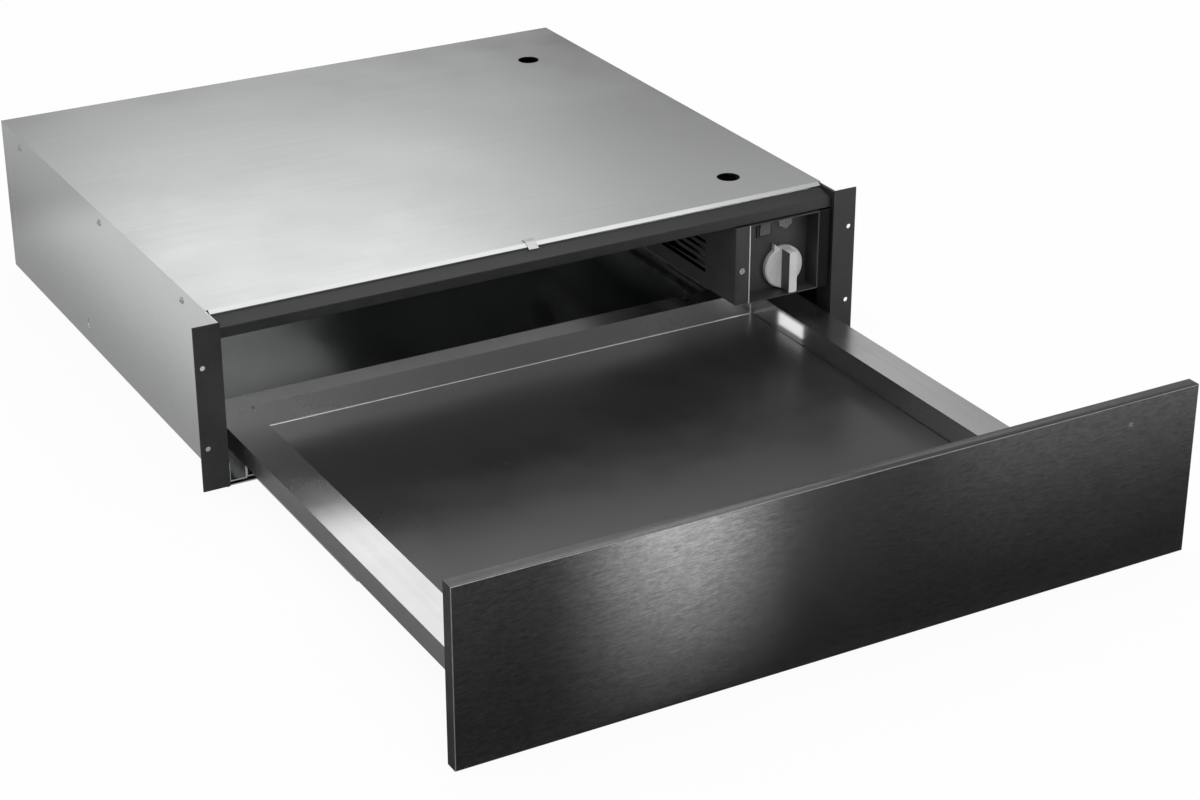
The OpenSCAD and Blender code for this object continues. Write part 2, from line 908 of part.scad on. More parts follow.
module fan_housing() {
    color([0.68, 0.69, 0.7]) on_base() difference() {
        union() {
            rod_x(fan_left, fan_y, fan_height, fan_width, fan_radius);
            block([fan_left, duct_back, fan_height - fan_radius],
                [fan_left + fan_width, fan_y, fan_height]);
        }
        rod_x(fan_left + fan_wall, fan_y, fan_height, fan_width - 2 * fan_wall,
            fan_radius - fan_wall);
        block([fan_left + fan_wall, duct_back - overrun, fan_height - fan_radius + fan_wall],
            [fan_left + fan_width - fan_wall, fan_y, fan_height - fan_wall]);
        rod_x(fan_left - overrun, fan_y, fan_height, fan_wall + 2 * overrun, intake_radius);
        rod_x(fan_left + fan_width - fan_wall - overrun, fan_y, fan_height,
            fan_wall + 2 * overrun, hub_radius);
    }
}

module fan_motor() {
    color([0.45, 0.46, 0.47]) on_base() difference() {
        union() {
            rod_x(motor_left, fan_y, fan_height, motor_flange, motor_flange_radius);
            rod_x(motor_left, fan_y, fan_height, motor_length, motor_radius);
            rod_x(motor_left + motor_length - overrun, fan_y, fan_height,
                overrun + motor_cap, motor_cap_radius);
        }
        rod_x(motor_left - overrun, fan_y, fan_height, motor_bore + overrun,
            fan_shaft_radius + running_gap);
    }
}

module fan_shaft() {
    color([0.8, 0.8, 0.82]) on_base() rod_x(wheel_left, fan_y, fan_height,
        motor_left + motor_bore - weld_gap - wheel_left, fan_shaft_radius);
}

module fan_wheel() {
    color([0.35, 0.36, 0.37]) on_base() difference() {
        union() {
            rod_x(wheel_left + fan_wheel_width - wheel_plate, fan_y, fan_height, wheel_plate,
                fan_wheel_radius);
            rod_x(wheel_left, fan_y, fan_height, fan_wheel_width, hub_radius);
            difference() {
                rod_x(wheel_left, fan_y, fan_height, wheel_plate, fan_wheel_radius);
                rod_x(wheel_left - overrun, fan_y, fan_height, wheel_plate + 2 * overrun,
                    fan_wheel_radius - blade_depth);
            }
            for (blade = [0 : fan_blades - 1]) {
                translate([0, fan_y, fan_height]) rotate([blade * 360 / fan_blades, 0, 0])
                    block([wheel_left, -blade_sheet / 2, fan_wheel_radius - blade_depth],
                        [wheel_left + fan_wheel_width, blade_sheet / 2,
                        fan_wheel_radius - blade_sheet]);
            }
        }
        rod_x(wheel_left - overrun, fan_y, fan_height, fan_wheel_width + 2 * overrun,
            fan_shaft_radius + running_gap);
    }
}

// three-sided sheet duct, closed by the compartment wall
module heater_duct() {
    color([0.7, 0.71, 0.72]) on_base() difference() {
        block([wall_x + sheet, duct_front, duct_bottom],
            [wall_x + duct_width, duct_back - weld_gap, duct_top]);
        block([wall_x, duct_front + sheet, duct_bottom + sheet],
            [wall_x + duct_width - sheet, duct_back + overrun, duct_top - sheet]);
        for (end = element_ends) {
            rod_x(wall_x + duct_width - sheet - overrun, end[0], end[1],
                sheet + 2 * overrun, tail_radius + weld_gap);
        }
    }
}

// half a ring of tube, bulging to the back (1) or to the front (0)
module element_bend(at, height, back) {
    translate([0, at, height]) intersection() {
        rotate([0, 90, 0]) rotate_extrude() translate([element_pitch / 2, 0])
            circle(r = element_radius);
        block([-element_radius - overrun, (back - 1) * 2 * element_pitch,
            -2 * element_pitch],
            [element_radius + overrun, back * 2 * element_pitch, 2 * element_pitch]);
    }
}

// tubular element bent into three runs, with two tails through the duct wall
module heater_element() {
    color([0.5, 0.48, 0.45]) on_base() translate([wall_x + element_x, 0, 0]) union() {
        for (run = [0 : element_runs - 1]) {
            rod_y(0, element_front, element_height + run * element_pitch, element_length,
                element_radius);
        }
        for (bend = [0 : element_runs - 2]) {
            element_bend(element_front + (1 - bend % 2) * element_length,
                element_height + (bend + 0.5) * element_pitch, 1 - bend % 2);
        }
        for (end = element_ends) {
            rod_x(0, end[0], end[1], element_tail, tail_radius);
        }
    }
}

module safety_cutout() {
    color([0.8, 0.78, 0.7]) on_base() translate([wall_x + duct_width, cutout_y,
        (duct_bottom + duct_top) / 2]) union() {
        rod_x(0, 0, 0, cutout_depth, cutout_radius);
        block([0, -cutout_ear, -cutout_ear / 2], [cutout_sheet, cutout_ear, cutout_ear / 2]);
    }
}

module terminal_block() {
    color([0.88, 0.87, 0.82]) on_base() difference() {
        block([block_x - block_width / 2, block_y, compartment_bottom + sheet],
            [block_x + block_width / 2, block_y + block_length,
            compartment_bottom + sheet + block_height]);
        for (well = [0 : block_wells - 1]) {
            translate([block_x, block_y + (well + 0.5) * block_length / block_wells,
                compartment_bottom + sheet + block_height - well_depth])
                cylinder(h = well_depth + overrun, r = well_radius);
        }
    }
}

// flanged gland with a nut inside, open for the supply cord
module cable_gland() {
    color([0.1, 0.1, 0.1]) on_base() difference() {
        union() {
            rod_y(gland_x, carcass_depth, gland_height, gland_flange, gland_flange_radius);
            rod_y(gland_x, rear_inside - gland_inside, gland_height,
                gland_inside + sheet + overrun, gland_neck_radius - weld_gap);
            translate([gland_x, rear_inside - gland_nut, gland_height]) rotate([-90, 0, 0])
                cylinder(h = gland_nut, r = gland_nut_radius, $fn = 6);
        }
        rod_y(gland_x, rear_inside - gland_inside - overrun, gland_height,
            gland_inside + sheet + gland_flange + 2 * overrun, gland_bore_radius);
    }
}

module sector(from, to) {
    polygon(concat([[0, 0]], [for (step = [0 : sector_steps])
        sector_reach * [cos(from + (to - from) * step / sector_steps),
            sin(from + (to - from) * step / sector_steps)]]));
}

module race(centre, radius, from, to) {
    translate(centre) intersection() {
        difference() {
            circle(r = radius + member);
            circle(r = radius);
        }
        sector(from, to);
    }
}

module both_rows() {
    for (row = [0, 1]) {
        mirror([0, row, 0]) children();
    }
}

module cabinet_member_section() {
    translate([0, -slide_height / 2]) square([member, slide_height]);
    both_rows() {
        translate([0, slide_height / 2 - member]) square([outer_u, member]);
        race([outer_u, outer_v], outer_race, -race_hook, 90);
    }
}

module middle_member_section() {
    translate([outer_u - outer_race - member, -outer_v]) square([member, 2 * outer_v]);
    both_rows() {
        race([outer_u, outer_v], outer_race, 180, 270);
        translate([outer_u, outer_v - outer_race - member]) square([inner_u - outer_u, member]);
        race([inner_u, inner_v], inner_race, -race_hook, 90);
    }
}

module drawer_member_section() {
    drawer_flange = inner_v - inner_race - member;
    translate([slide_thickness - member, -drawer_flange]) square([member, 2 * drawer_flange]);
    both_rows() {
        race([inner_u, inner_v], inner_race, 180, 270);
        translate([inner_u, drawer_flange]) square([slide_thickness - inner_u, member]);
    }
}

module cage_section(web_u, centre_u, tip, row_v, lift) {
    inside = row_v + lift;
    outside = inside + cage_sheet;
    polygon([
        [web_u, -outside],
        [centre_u + tip, -outside],
        [centre_u + tip, -inside],
        [web_u + cage_sheet, -inside],
        [web_u + cage_sheet, inside],
        [centre_u + tip, inside],
        [centre_u + tip, outside],
        [web_u, outside]
    ]);
}

// places a slide section drawn in u and v on the right-hand side of the carcass
module in_slide(front, length) {
    on_base() translate([slide_x, 0, slide_middle]) mirror([1, 0, 0])
        along_y(front, length) children();
}

function ball_at(front, count, index) = front + end_ball_inset
    + index * (cage_length - 2 * end_ball_inset) / (count - 1);

module cage(front, web_u, centre_u, tip, row_v, lift, ball) {
    difference() {
        in_slide(front, cage_length) cage_section(web_u, centre_u, tip, row_v, lift);
        on_base() for (index = [0 : balls_per_row - 1]) {
            translate([slide_x - centre_u, ball_at(front, balls_per_row, index),
                slide_middle - slide_height / 2])
                cylinder(h = slide_height, r = ball + cage_pocket_gap);
        }
    }
}

module balls(front, centre_u, row_v, ball) {
    on_base() for (index = [0 : balls_per_row - 1]) {
        for (way = [-1, 1]) {
            translate([slide_x - centre_u, ball_at(front, balls_per_row, index),
                slide_middle + way * row_v]) sphere(r = ball);
        }
    }
}

module rivet_holes(places, u) {
    on_base() for (at = places) {
        rod_x(slide_x - u - overrun, at, slide_middle, 2 * overrun,
            rivet_radius + running_gap);
    }
}

module rivets(places, outboard, inboard) {
    on_base() for (at = places) {
        rod_x(inboard, at, slide_middle, outboard - inboard, rivet_radius);
        rod_x(outboard, at, slide_middle, rivet_head_thick, rivet_head);
        rod_x(inboard - rivet_head_thick, at, slide_middle, rivet_head_thick, rivet_head);
    }
}

module slide_bracket() {
    difference() {
        on_base() along_y(slide_front - weld_gap, bracket_back - slide_front) polygon([
            [slide_x, bracket_floor],
            [inner_half - sheet, bracket_floor],
            [inner_half - sheet, bracket_outer_top],
            [inner_half - sheet - bracket_sheet, bracket_outer_top],
            [inner_half - sheet - bracket_sheet, bracket_floor + bracket_sheet],
            [slide_x + bracket_sheet, bracket_floor + bracket_sheet],
            [slide_x + bracket_sheet, bracket_inner_top],
            [slide_x, bracket_inner_top]
        ]);
        rivet_holes(slide_rivets_at, -bracket_sheet / 2);
    }
}

module slide_bracket_right() {
    color([0.7, 0.71, 0.72]) slide_bracket();
}

module slide_bracket_left() {
    color([0.7, 0.71, 0.72]) on_left() slide_bracket();
}

module cabinet_slide() {
    difference() {
        in_slide(slide_front, slide_length) cabinet_member_section();
        rivet_holes(slide_rivets_at, member / 2);
    }
}

module cabinet_slide_right() {
    color([0.78, 0.79, 0.8]) cabinet_slide();
}

module cabinet_slide_left() {
    color([0.78, 0.79, 0.8]) on_left() cabinet_slide();
}

module outer_cage_right() {
    color([0.7, 0.66, 0.5]) cage(outer_cage_front, cage_web_u, outer_u, cage_tip, outer_v,
        cage_flange_v, outer_ball);
}

module outer_cage_left() {
    on_left() outer_cage_right();
}

module outer_balls_right() {
    color([0.85, 0.85, 0.87]) balls(outer_cage_front, outer_u, outer_v, outer_ball);
}

module outer_balls_left() {
    on_left() outer_balls_right();
}

module middle_slide_right() {
    color([0.78, 0.79, 0.8]) in_slide(middle_front, middle_length) middle_member_section();
}

module middle_slide_left() {
    on_left() middle_slide_right();
}

module inner_cage_right() {
    color([0.7, 0.66, 0.5]) cage(inner_cage_front, inner_cage_web_u, inner_u, inner_cage_tip,
        inner_v, inner_cage_v, inner_ball);
}

module inner_cage_left() {
    on_left() inner_cage_right();
}

module inner_balls_right() {
    color([0.85, 0.85, 0.87]) balls(inner_cage_front, inner_u, inner_v, inner_ball);
}

module inner_balls_left() {
    on_left() inner_balls_right();
}

module drawer_slide() {
    difference() {
        in_slide(drawer_member_front, drawer_member_length) drawer_member_section();
        rivet_holes(carrier_rivets_at, slide_thickness - member / 2);
    }
}

module drawer_slide_right() {
    color([0.78, 0.79, 0.8]) drawer_slide();
}

module drawer_slide_left() {
    color([0.78, 0.79, 0.8]) on_left() drawer_slide();
}

module slide_carrier() {
    difference() {
        on_base() along_y(drawer_member_front, drawer_member_length) polygon([
            [carrier_x, carrier_bottom],
            [carrier_x, rim_height - pan_sheet],
            [carrier_x - carrier_foot, rim_height - pan_sheet],
            [carrier_x - carrier_foot, rim_height - pan_sheet - carrier_sheet],
            [carrier_x - carrier_sheet, rim_height - pan_sheet - carrier_sheet],
            [carrier_x - carrier_sheet, carrier_bottom]
        ]);
        rivet_holes(carrier_rivets_at, slide_thickness + carrier_sheet / 2);
    }
}

module slide_carrier_right() {
    color([0.7, 0.71, 0.72]) slide_carrier();
}

module slide_carrier_left() {
    color([0.7, 0.71, 0.72]) on_left() slide_carrier();
}

module slide_rivets() {
    color([0.75, 0.75, 0.76]) for (side = [0, 1]) {
        mirror([side, 0, 0]) rivets(slide_rivets_at, slide_x + bracket_sheet,
            slide_x - member);
    }
}

module carrier_rivets() {
    color([0.75, 0.75, 0.76]) for (side = [0, 1]) {
        mirror([side, 0, 0]) rivets(carrier_rivets_at, carrier_x + member,
            carrier_x - carrier_sheet);
    }
}

// box with rounded upright and lower edges, open at the top
module pressed_form(half, front, back, bottom, top, radius) {
    block([-half + radius, front + radius, bottom], [half - radius, back - radius, top]);
    block([-half, front + radius, bottom + radius], [half, back - radius, top]);
    block([-half + radius, front, bottom + radius], [half - radius, back, top]);
    for (x = [-half + radius, half - radius]) {
        for (y = [front + radius, back - radius]) {
            translate([x, y, bottom + radius]) cylinder(h = top - bottom - radius, r = radius);
            translate([x, y, bottom + radius]) sphere(r = radius);
        }
        rod_y(x, front + radius, bottom + radius, back - front - 2 * radius, radius);
    }
    for (y = [front + radius, back - radius]) {
        rod_x(-half + radius, y, bottom + radius, 2 * (half - radius), radius);
    }
}

module drawer_pan() {
    color([0.78, 0.79, 0.8]) on_base() difference() {
        union() {
            pressed_form(pan_inner_half + pan_sheet, pan_inner_front - pan_sheet,
                pan_inner_rear + pan_sheet, pan_floor - pan_sheet, rim_height,
                pan_radius + pan_sheet);
            block([-pan_half, pan_front, rim_height - pan_sheet],
                [pan_half, pan_rear, rim_height]);
            for (side = [0, 1]) {
                mirror([side, 0, 0]) block([pan_half - pan_sheet, pan_front, hem_bottom],
                    [pan_half, pan_rear, rim_height]);
            }
            block([-rear_hem_half, pan_rear - pan_sheet, rear_hem_bottom],
                [rear_hem_half, pan_rear, rim_height]);
            block([-pan_half + pan_sheet, pan_front, front_hem_bottom],
                [pan_half - pan_sheet, pan_front + pan_sheet, rim_height]);
        }
        pressed_form(pan_inner_half, pan_inner_front, pan_inner_rear, pan_floor,
            rim_height + overrun, pan_radius);
        panel_screw_holes(screw_radius + running_gap);
    }
}

module panel_screw_holes(radius) {
    for (at = panel_screws_at) {
        rod_y(at, panel_back - core_wall - overrun, panel_screw_height,
            core_wall + pan_sheet + 2 * overrun, radius);
    }
}

module rounded_plate(half, front, back, bottom, top, radius) {
    block([-half + radius, front, bottom], [half - radius, back, top]);
    block([-half, front + radius, bottom], [half, back - radius, top]);
    for (x = [-half + radius, half - radius]) {
        for (y = [front + radius, back - radius]) {
            translate([x, y, bottom]) cylinder(h = top - bottom, r = radius);
        }
    }
}

// mat that fills the pan, with a narrower foot inside the pan's lower radius
module mat() {
    color([0.16, 0.16, 0.17]) on_base() union() {
        rounded_plate(pan_inner_half - mat_foot_inset, pan_inner_front + mat_foot_inset,
            pan_inner_rear - mat_foot_inset, pan_floor, pan_floor + mat_foot, pan_radius);
        rounded_plate(pan_inner_half - mat_inset, pan_inner_front + mat_inset,
            pan_inner_rear - mat_inset, pan_floor + mat_foot, pan_floor + mat_thickness,
            pan_radius);
    }
}

module front_core() {
    color([0.08, 0.08, 0.09]) on_base() difference() {
        block([-panel_width / 2, panel_front + skin, -panel_drop],
            [panel_width / 2, panel_back, panel_top]);
        difference() {
            block([-panel_width / 2 + core_wall, panel_front, -panel_drop + core_wall],
                [panel_width / 2 - core_wall, panel_back - core_wall, panel_top - core_wall]);
            for (at = core_ribs_at) {
                block([at - core_rib / 2, panel_front, -panel_drop],
                    [at + core_rib / 2, panel_back, panel_top]);
            }
        }
        rod_y(window_x, panel_front, window_height, panel_thickness + overrun,
            window_radius + running_gap);
        panel_screw_holes(screw_radius + running_gap);
    }
}

// front sheet with a narrow bevel on all four edges
module front_skin() {
    color([0.2, 0.2, 0.21]) on_base() difference() {
        intersection() {
            along_x(-panel_width / 2, panel_width) polygon([
                [panel_front + skin, -panel_drop],
                [panel_front + skin, panel_top],
                [panel_front + skin_bevel, panel_top],
                [panel_front, panel_top - skin_bevel],
                [panel_front, -panel_drop + skin_bevel],
                [panel_front + skin_bevel, -panel_drop]
            ]);
            translate([0, 0, -panel_drop]) linear_extrude(panel_height) polygon([
                [-panel_width / 2, panel_front + skin],
                [panel_width / 2, panel_front + skin],
                [panel_width / 2, panel_front + skin_bevel],
                [panel_width / 2 - skin_bevel, panel_front],
                [-panel_width / 2 + skin_bevel, panel_front],
                [-panel_width / 2, panel_front + skin_bevel]
            ]);
        }
        rod_y(window_x, panel_front - overrun, window_height, skin + 2 * overrun,
            window_radius + running_gap);
    }
}

module light_window() {
    color([0.9, 0.9, 0.86]) on_base() rod_y(window_x, panel_front, window_height,
        panel_thickness, window_radius);
}

// folded angles that tie the pan's side walls to its front hem
module panel_angles() {
    color([0.7, 0.71, 0.72]) on_base() for (side = [0, 1]) {
        mirror([side, 0, 0]) translate([pan_inner_half + pan_sheet + angle_offset,
            pan_front + pan_sheet, 0]) {
            block([0, 0, angle_bottom], [angle_sheet, angle_length, rim_height - pan_sheet]);
            block([0, 0, angle_bottom], [angle_foot, angle_sheet, rim_height - pan_sheet]);
            block([0, 0, rim_height - pan_sheet - angle_sheet],
                [angle_foot, angle_length, rim_height - pan_sheet]);
        }
    }
}

module panel_screws() {
    color([0.7, 0.7, 0.72]) on_base() for (at = panel_screws_at) {
        translate([at, panel_back + pan_sheet, panel_screw_height]) rotate([-90, 0, 0])
            pan_screw(screw_length, screw_radius, screw_head_radius, screw_head_height);
    }
}

module buffers() {
    color([0.12, 0.12, 0.12]) on_base() for (side = [-1, 1]) {
        for (height = pad_heights) {
            rod_y(side * pad_x, panel_back, height, pad_thickness, pad_radius);
        }
    }
}

// push-to-open catch on the inside of the rear panel
module latch_body() {
    color([0.15, 0.15, 0.16]) on_base() difference() {
        union() {
            block([-latch_width / 2, latch_front, latch_centre - latch_height / 2],
                [latch_width / 2, rear_inside, latch_centre + latch_height / 2]);
            block([-latch_width / 2 - latch_ear, rear_inside - latch_ear_thick,
                latch_centre - latch_height / 2],
                [latch_width / 2 + latch_ear, rear_inside, latch_centre + latch_height / 2]);
        }
        rod_y(0, latch_front - overrun, latch_centre, plunger_neck + 2 * overrun,
            plunger_radius + running_gap);
        rod_y(0, latch_front + plunger_neck, latch_centre, plunger_cavity_depth,
            plunger_cavity_radius);
    }
}

module latch_plunger() {
    color([0.85, 0.85, 0.83]) on_base() union() {
        rod_y(0, latch_front - plunger_reach, latch_centre, plunger_length, plunger_radius);
        rod_y(0, latch_front + plunger_neck + weld_gap, latch_centre, plunger_head_thick,
            plunger_head);
    }
}

module side_screws() {
    color([0.6, 0.6, 0.62]) on_base() for (side = [0, 1]) {
        for (at = side_screws_at) {
            mirror([side, 0, 0]) translate([half_width, at, side_screw_height])
                rotate([0, 90, 0])
                pan_screw(screw_length, screw_radius, screw_head_radius, screw_head_height);
        }
    }
}

module post_screw() {
    color([0.7, 0.7, 0.72]) on_base() translate([wall_x + post_screw_x, post_front,
        post_screw_height]) rotate([90, 0, 0])
        pan_screw(screw_length, screw_radius, screw_head_radius, screw_head_height);
}

base_panel();
side_panel_left();
side_panel_right();
rear_panel();
top_cover();
top_rail();
flange_left();
flange_right();
rail_clip();
compartment_wall();
compartment_floor();
control_recess();
thermostat_body();
thermostat_shaft();
knob();
switch_body();
rocker();
lamp_body();
lamp_lens();
fan_housing();
fan_motor();
fan_shaft();
fan_wheel();
heater_duct();
heater_element();
safety_cutout();
terminal_block();
cable_gland();
slide_bracket_left();
slide_bracket_right();
cabinet_slide_left();
cabinet_slide_right();
outer_cage_left();
outer_cage_right();
outer_balls_left();
outer_balls_right();
middle_slide_left();
middle_slide_right();
inner_cage_left();
inner_cage_right();
inner_balls_left();
inner_balls_right();
drawer_slide_left();
drawer_slide_right();
slide_carrier_left();
slide_carrier_right();
drawer_pan();
mat();
front_core();
front_skin();
light_window();
panel_angles();
panel_screws();
buffers();
latch_body();
latch_plunger();
side_screws();
slide_rivets();
carrier_rivets();
post_screw();
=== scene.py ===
"""Looks of a built-in warming drawer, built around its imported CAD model."""

import json
import math

import bmesh
import bpy
from mathutils import Matrix, Vector


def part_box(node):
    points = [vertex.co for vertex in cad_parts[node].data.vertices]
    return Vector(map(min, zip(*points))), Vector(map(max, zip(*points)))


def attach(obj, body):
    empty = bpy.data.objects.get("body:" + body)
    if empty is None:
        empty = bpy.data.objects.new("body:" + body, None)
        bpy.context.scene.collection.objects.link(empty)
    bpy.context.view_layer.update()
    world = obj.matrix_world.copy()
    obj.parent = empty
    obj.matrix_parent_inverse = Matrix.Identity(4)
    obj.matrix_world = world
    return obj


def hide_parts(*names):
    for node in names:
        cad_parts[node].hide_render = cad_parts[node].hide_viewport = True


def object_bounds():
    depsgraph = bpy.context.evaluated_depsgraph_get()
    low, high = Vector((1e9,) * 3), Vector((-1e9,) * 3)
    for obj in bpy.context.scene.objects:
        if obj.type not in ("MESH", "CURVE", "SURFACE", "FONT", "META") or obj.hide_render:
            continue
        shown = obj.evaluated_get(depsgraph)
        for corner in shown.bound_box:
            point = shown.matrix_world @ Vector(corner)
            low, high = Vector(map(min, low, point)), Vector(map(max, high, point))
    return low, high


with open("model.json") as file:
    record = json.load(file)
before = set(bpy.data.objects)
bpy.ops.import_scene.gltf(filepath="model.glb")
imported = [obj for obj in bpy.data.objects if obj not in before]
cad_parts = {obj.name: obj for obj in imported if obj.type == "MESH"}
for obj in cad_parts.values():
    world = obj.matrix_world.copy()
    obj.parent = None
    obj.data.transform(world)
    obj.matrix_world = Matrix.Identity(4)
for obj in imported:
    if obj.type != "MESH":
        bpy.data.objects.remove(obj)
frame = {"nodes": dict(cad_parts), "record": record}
cad_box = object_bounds()
scene = bpy.context.scene
nodes = frame["nodes"]
record = frame["record"]

MM = 0.001

# Camera, fitted to the photograph: metres and degrees in the part's frame.
CAMERA_AT = (-0.91752, -1.72074, 0.87077)
CAMERA_AZIMUTH = -29.34
CAMERA_ELEVATION = 25.53
CAMERA_ROLL = -0.07
CAMERA_CLIP = (0.01, 50.0)
LENS = 80.17
SENSOR = 36.0

# The world: light on matt surfaces, and what metal mirrors far from the window.
DIFFUSE_LEVEL = 0.55
STUDIO_LEVEL = 0.5

# The pale window that metal mirrors. It comes on or fades over these spans, in degrees:
# of rise above level for the sill, and of turn from +Y to +X for the others.
WINDOW_LEVEL = 1.2
WALL_LEVEL = 0.05
WINDOW_SILL = (16.5, 22.5)
WINDOW_LEFT = (12.0, 20.5)
WINDOW_LEFT_LEVEL = 0.3
WINDOW_RIGHT = (24.0, 31.5)
WINDOW_RIGHT_LEVEL = 0.46
WINDOW_END = (36.5, 42.0)
WINDOW_END_LEVEL = 0.25
# Beyond this many degrees from its middle, the dark wall around it ends.
WINDOW_MIDDLE = 25.0
WINDOW_WALL = (50.0, 70.0)

# The floor. The camera sees mostly its own white, which keeps a faint shadow.
FLOOR_Z = cad_box[0][2] - 0.2 * MM
FLOOR_HALF_SIZE = 6.0
FLOOR_COLOUR = 0.75
FLOOR_WHITE = 1.04
FLOOR_WHITE_SHARE = 0.9

# The floor ahead that the front mirrors, along Y: darker close to the front's foot, as a
# painted shadow of the front.
FLOOR_NEAR = -0.45
FLOOR_FAR = -0.8
FLOOR_NEAR_LEVEL = 0.25
FLOOR_FAR_LEVEL = 1.0
FLOOR_SEAM = 0.02
# Beside the carcass the mirrored floor is darker along the sides, and again behind, as a
# painted shadow of the carcass.
FLOOR_SIDE = (0.28, 0.40)
FLOOR_SIDE_LEVELS = (0.35, 0.72)
FLOOR_BACK = (0.56, 0.68)
FLOOR_BACK_SHARE = 0.65

# A painted light on that floor: a bright strip, which the front mirrors as one upright streak.
# It runs off from its foot, turned from -Y to +X, and grows brighter over its reach along Y.
STREAK_FOOT = (-0.141, -0.43)
STREAK_TURN = 31.4
STREAK_HALF_WIDTH = (0.0, 0.092)
STREAK_GAIN = 18.0
STREAK_START = 0.15
STREAK_REACH = (-0.72, -0.46)
# A weaker painted glow right of the streak, on the far floor only.
GLOW_SPAN = (0.17, 0.27)
GLOW_REACH = (-0.74, -0.56)
GLOW_GAIN = 2.6


def grey(value):
    return [value, value, value, 1.0]


class Graph:
    """Builds a node tree a step at a time."""

    def __init__(self, tree):
        self.tree = tree

    def add(self, kind, **settings):
        made = self.tree.nodes.new(kind)
        for key, value in settings.items():
            setattr(made, key, value)
        return made

    def feed(self, source, target):
        """Sets the target to a node's output, or to a plain number."""
        if isinstance(source, (int, float)):
            target.default_value = source
        else:
            self.tree.links.new(source, target)

    def spread(self, value, low, high, from_low=0.3, from_high=0.7, smooth=False):
        """The value's span from_low..from_high becomes low..high."""
        kind = "SMOOTHSTEP" if smooth else "LINEAR"
        made = self.add("ShaderNodeMapRange", interpolation_type=kind)
        made.inputs["From Min"].default_value = from_low
        made.inputs["From Max"].default_value = from_high
        made.inputs["To Min"].default_value = low
        made.inputs["To Max"].default_value = high
        self.feed(value, made.inputs["Value"])
        return made.outputs["Result"]

    def turned(self, turn, low, high, span):
        """Like spread, smoothly over a span given in degrees."""
        start, end = (math.radians(angle) for angle in span)
        return self.spread(turn, low, high, start, end, smooth=True)

    def combine(self, first, second, operation="MULTIPLY"):
        made = self.add("ShaderNodeMath", operation=operation)
        self.feed(first, made.inputs[0])
        self.feed(second, made.inputs[1])
        return made.outputs["Value"]

    def absolute(self, value):
        made = self.add("ShaderNodeMath", operation="ABSOLUTE")
        self.feed(value, made.inputs[0])
        return made.outputs["Value"]

    def axes(self, vector):
        """The outputs X, Y and Z of a vector."""
        made = self.add("ShaderNodeSeparateXYZ")
        self.feed(vector, made.inputs["Vector"])
        return made.outputs

    def light(self, kind, strength):
        """A white Background or Emission of that strength."""
        made = self.add(kind)
        made.inputs["Color"].default_value = grey(1.0)
        self.feed(strength, made.inputs["Strength"])
        return made.outputs[0]

    def mix(self, share, first, second):
        made = self.add("ShaderNodeMixShader")
        self.feed(share, made.inputs["Fac"])
        self.feed(first, made.inputs[1])
        self.feed(second, made.inputs[2])
        return made.outputs["Shader"]

    def by_ray(self, lit, mirrored, seen):
        """One shader for diffuse light, one for mirrors and glass, one for the camera."""
        path = self.add("ShaderNodeLightPath")
        shiny = self.combine(path.outputs["Is Glossy Ray"], path.outputs["Is Transmission Ray"],
                             "MAXIMUM")
        unseen = self.mix(shiny, lit, mirrored)
        return self.mix(path.outputs["Is Camera Ray"], unseen, seen)


class Look(Graph):
    """A procedural material that is put together node by node."""

    def __init__(self, name, metallic=0.0, roughness=0.5, colour=0.5):
        self.material = bpy.data.materials.new(name)
        self.material.use_nodes = True
        super().__init__(self.material.node_tree)
        self.shader = self.tree.nodes["Principled BSDF"]
        self.shader.inputs["Metallic"].default_value = metallic
        self.shader.inputs["Roughness"].default_value = roughness
        self.shader.inputs["Base Color"].default_value = grey(colour)
        self.place = self.add("ShaderNodeTexCoord").outputs["Object"]

    def noise(self, scale, detail=2.0, rough=0.5, stretch=(1, 1, 1), distortion=0.0):
        """Noise whose cells measure about 1/scale metres; stretch scales each axis again."""
        mapping = self.add("ShaderNodeMapping")
        mapping.inputs["Scale"].default_value = [scale * axis for axis in stretch]
        self.feed(self.place, mapping.inputs["Vector"])
        made = self.add("ShaderNodeTexNoise")
        made.inputs["Scale"].default_value = 1.0
        made.inputs["Detail"].default_value = detail
        made.inputs["Roughness"].default_value = rough
        made.inputs["Distortion"].default_value = distortion
        self.feed(mapping.outputs["Vector"], made.inputs["Vector"])
        return made.outputs["Fac"]

    def colour(self, value, low, high, tint=(1.0, 1.0, 1.0)):
        """The value 0..1 becomes a colour between two greys, a little tinted."""
        ramp = self.add("ShaderNodeMix", data_type="RGBA")
        ramp.inputs["A"].default_value = [low * share for share in tint] + [1.0]
        ramp.inputs["B"].default_value = [high * share for share in tint] + [1.0]
        self.feed(value, ramp.inputs["Factor"])
        self.feed(ramp.outputs["Result"], self.shader.inputs["Base Color"])

    def roughness(self, value, low, high):
        """The middle span of a noise becomes a roughness from low to high."""
        self.feed(self.spread(value, low, high), self.shader.inputs["Roughness"])

    def bump(self, value, strength, distance, under=None):
        """A bump from the value, on top of the normal of another bump if one is given."""
        made = self.add("ShaderNodeBump")
        made.inputs["Strength"].default_value = strength
        made.inputs["Distance"].default_value = distance
        self.feed(value, made.inputs["Height"])
        if under is not None:
            self.feed(under, made.inputs["Normal"])
        self.feed(made.outputs["Normal"], self.shader.inputs["Normal"])
        return made.outputs["Normal"]

    def brushed_along_x(self, amount):
        """Highlights spread up and down across a grain that runs from side to side."""
        tangent = self.add("ShaderNodeTangent", direction_type="RADIAL", axis="Z")
        self.shader.inputs["Anisotropic"].default_value = amount
        self.shader.inputs["Anisotropic Rotation"].default_value = 0.25
        self.feed(tangent.outputs["Tangent"], self.shader.inputs["Tangent"])


